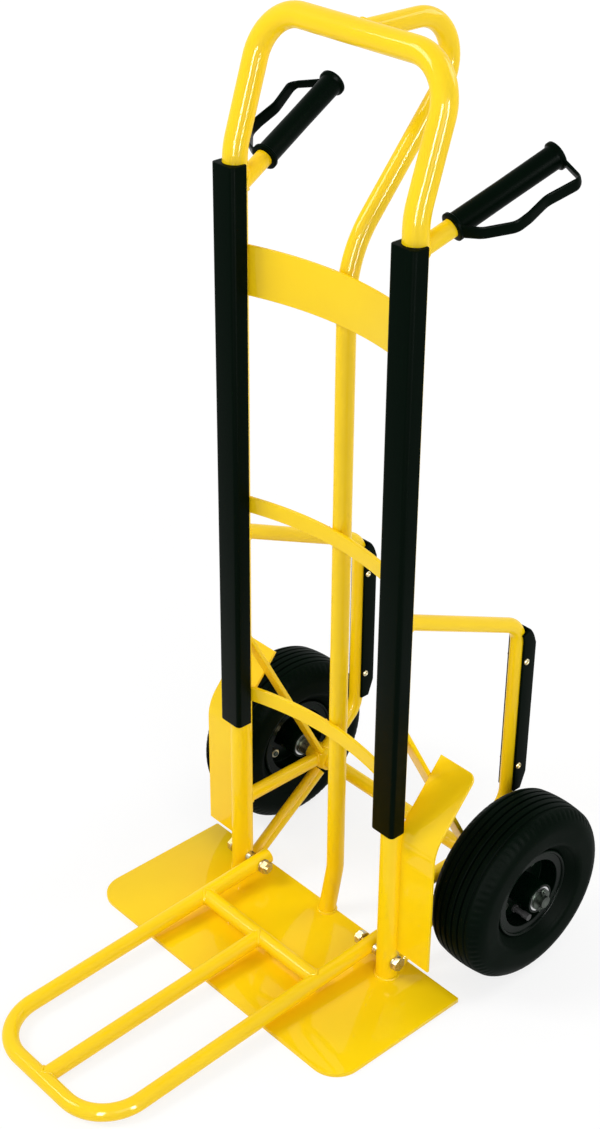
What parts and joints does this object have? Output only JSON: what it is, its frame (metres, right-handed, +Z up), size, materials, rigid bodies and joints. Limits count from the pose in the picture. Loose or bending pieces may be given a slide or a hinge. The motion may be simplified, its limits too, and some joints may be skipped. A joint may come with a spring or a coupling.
{
  "type": "sack truck",
  "caption": "Tall hand truck with bent tube frame, pistol grips, rear handle, toe plate with fold-up extension, skids and pneumatic wheels.",
  "frame": {"origin": "on the floor under the middle of the truck's bounding box", "axes": "+X across to the right seen from behind the toe plate's load side, +Y back from the load toward the wheels, +Z up along the uprights"},
  "size_m": [0.5658, 0.7454, 1.235],
  "materials": {
    "yellow_paint": "glossy powder coat",
    "black_plastic": "smooth satin",
    "black_grip": "soft satin",
    "tyre": "ribbed tread, satin side walls",
    "inner_tube_rubber": "matt",
    "valve_rubber": "matt",
    "zinc": "yellow passivated zinc",
    "dark_rim": "dark satin enamel",
    "bright_steel": "turned"
  },
  "bodies": {
    "frame": {"main_frame_tube": "yellow_paint", "centre_tube": "yellow_paint", "upper_back_plate": "yellow_paint", "middle_strap": "yellow_paint", "lower_strap": "yellow_paint", "toe_plate": "yellow_paint", "left_load_guard": "black_plastic", "right_load_guard": "black_plastic", "left_handle_tube": "yellow_paint", "right_handle_tube": "yellow_paint", "left_grip": "black_grip", "right_grip": "black_grip", "left_mudguard": "yellow_paint", "right_mudguard": "yellow_paint", "left_axle_strut": "yellow_paint", "right_axle_strut": "yellow_paint", "left_base_strut": "yellow_paint", "right_base_strut": "yellow_paint", "left_upper_brace": "yellow_paint", "right_upper_brace": "yellow_paint", "left_axle_boss": "yellow_paint", "right_axle_boss": "yellow_paint", "axle_tube": "yellow_paint", "axle": "bright_steel", "axle_collars": "zinc", "axle_washers": "zinc", "split_pins": "zinc", "bearing_inner_rings": "bright_steel", "left_skid_tube": "yellow_paint", "right_skid_tube": "yellow_paint", "left_skid_strip": "black_plastic", "right_skid_strip": "black_plastic", "skid_rivets": "zinc", "pivot_bolts": "zinc", "pivot_washers": "zinc", "pivot_spacers": "zinc", "pivot_nuts": "zinc"},
    "toe_extension": {"extension_frame_tube": "yellow_paint", "extension_centre_bar": "yellow_paint", "extension_cross_bar": "yellow_paint"},
    "left_wheel": {"left_tyre": "tyre", "left_inner_tube": "inner_tube_rubber", "left_outer_rim": "dark_rim", "left_inner_rim": "dark_rim", "left_hub": "dark_rim", "left_hub_bearings": "bright_steel", "left_rim_bolts": "zinc", "left_rim_nuts": "zinc", "left_valve": "valve_rubber"},
    "right_wheel": {"right_tyre": "tyre", "right_inner_tube": "inner_tube_rubber", "right_outer_rim": "dark_rim", "right_inner_rim": "dark_rim", "right_hub": "dark_rim", "right_hub_bearings": "bright_steel", "right_rim_bolts": "zinc", "right_rim_nuts": "zinc", "right_valve": "valve_rubber"}
  },
  "joints": [
    {"name": "left_wheel_spin", "type": "hinge", "parent": "frame", "child": "left_wheel", "pos_m": [-0.2285, 0.24571, 0.127], "axis": [1, 0, 0], "continuous": true},
    {"name": "right_wheel_spin", "type": "hinge", "parent": "frame", "child": "right_wheel", "pos_m": [0.2285, 0.24571, 0.127], "axis": [1, 0, 0], "continuous": true},
    {"name": "toe_extension_fold", "type": "hinge", "parent": "frame", "child": "toe_extension", "pos_m": [0, 0.09371, 0.034], "axis": [-1, 0, 0], "range_deg": [0, 90.5]}
  ]
}
